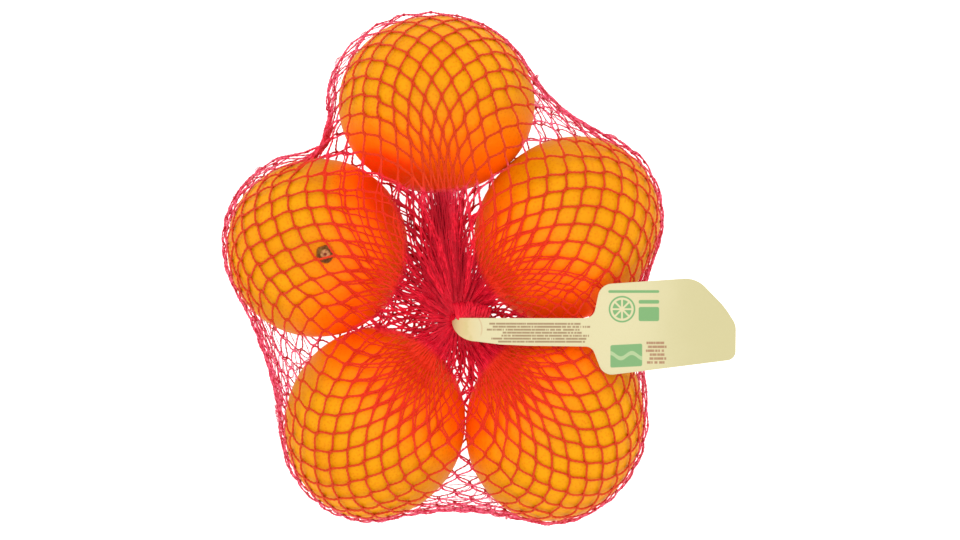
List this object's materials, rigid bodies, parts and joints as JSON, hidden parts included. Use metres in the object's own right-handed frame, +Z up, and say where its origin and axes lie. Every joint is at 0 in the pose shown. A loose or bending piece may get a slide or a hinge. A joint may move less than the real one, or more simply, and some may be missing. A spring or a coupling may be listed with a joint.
{
  "type": "net of oranges",
  "caption": "Round fruits held in a tube of knotted netting tied at both ends, lying flat, with a paddle-shaped card label on the tied end.",
  "frame": {"origin": "under the middle of the whole outline, on the floor plane that the fruits rest on", "axes": "+Z up, through the tied end on top; +X along the label from the tied end to its head; +Y towards the one fruit that lies alone at the far end"},
  "size_m": [0.2124, 0.2142, 0.0774],
  "materials": {
    "netting": "knitted strands of thin red plastic tape",
    "peel": "waxy orange peel with fine pits",
    "card": "smooth cream card with printed fields of green and grey-brown",
    "clip_metal": "soft crimped wire band"
  },
  "bodies": {
    "root": {"net_bag": "netting", "top_clip": "clip_metal", "bottom_clip": "clip_metal", "label": "card"}
  },
  "joints": []
}
